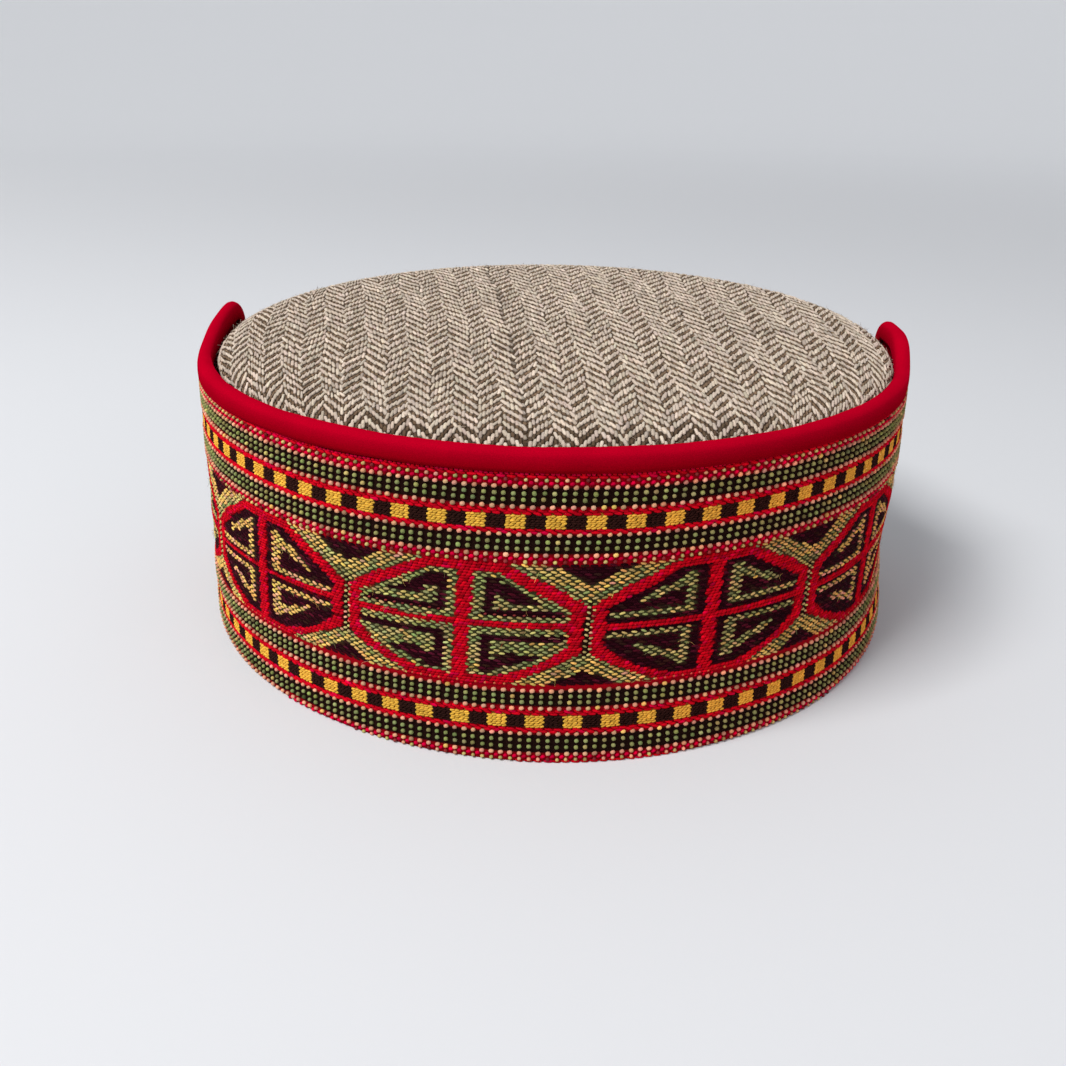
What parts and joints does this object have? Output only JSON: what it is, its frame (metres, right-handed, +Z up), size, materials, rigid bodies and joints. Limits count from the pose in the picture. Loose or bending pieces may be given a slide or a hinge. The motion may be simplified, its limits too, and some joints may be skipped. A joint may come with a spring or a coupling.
{
  "type": "himachali cap",
  "caption": "Round flat-topped wool cap: herringbone crown and wall, a turned-up band of woven pattern round the front and sides, and a velvet binding on its edge.",
  "frame": {"origin": "middle of the cap's outline, on the surface that its bottom edge rests on", "axes": "+Z up through the crown, -Y out of the front, +X to the right of someone facing the front"},
  "size_m": [0.1926, 0.1884, 0.075],
  "materials": {
    "crown_tweed": "matt herringbone wool tweed, cream and brown yarns",
    "wall_tweed": "the crown's herringbone tweed, its columns upright",
    "band_weave": "thick wool floats on a dark ground, red, yellow, peach and green",
    "velvet": "short red pile with a soft sheen"
  },
  "bodies": {
    "root": {"crown": "crown_tweed", "wall": "wall_tweed", "band": "band_weave", "binding": "velvet"}
  },
  "joints": []
}
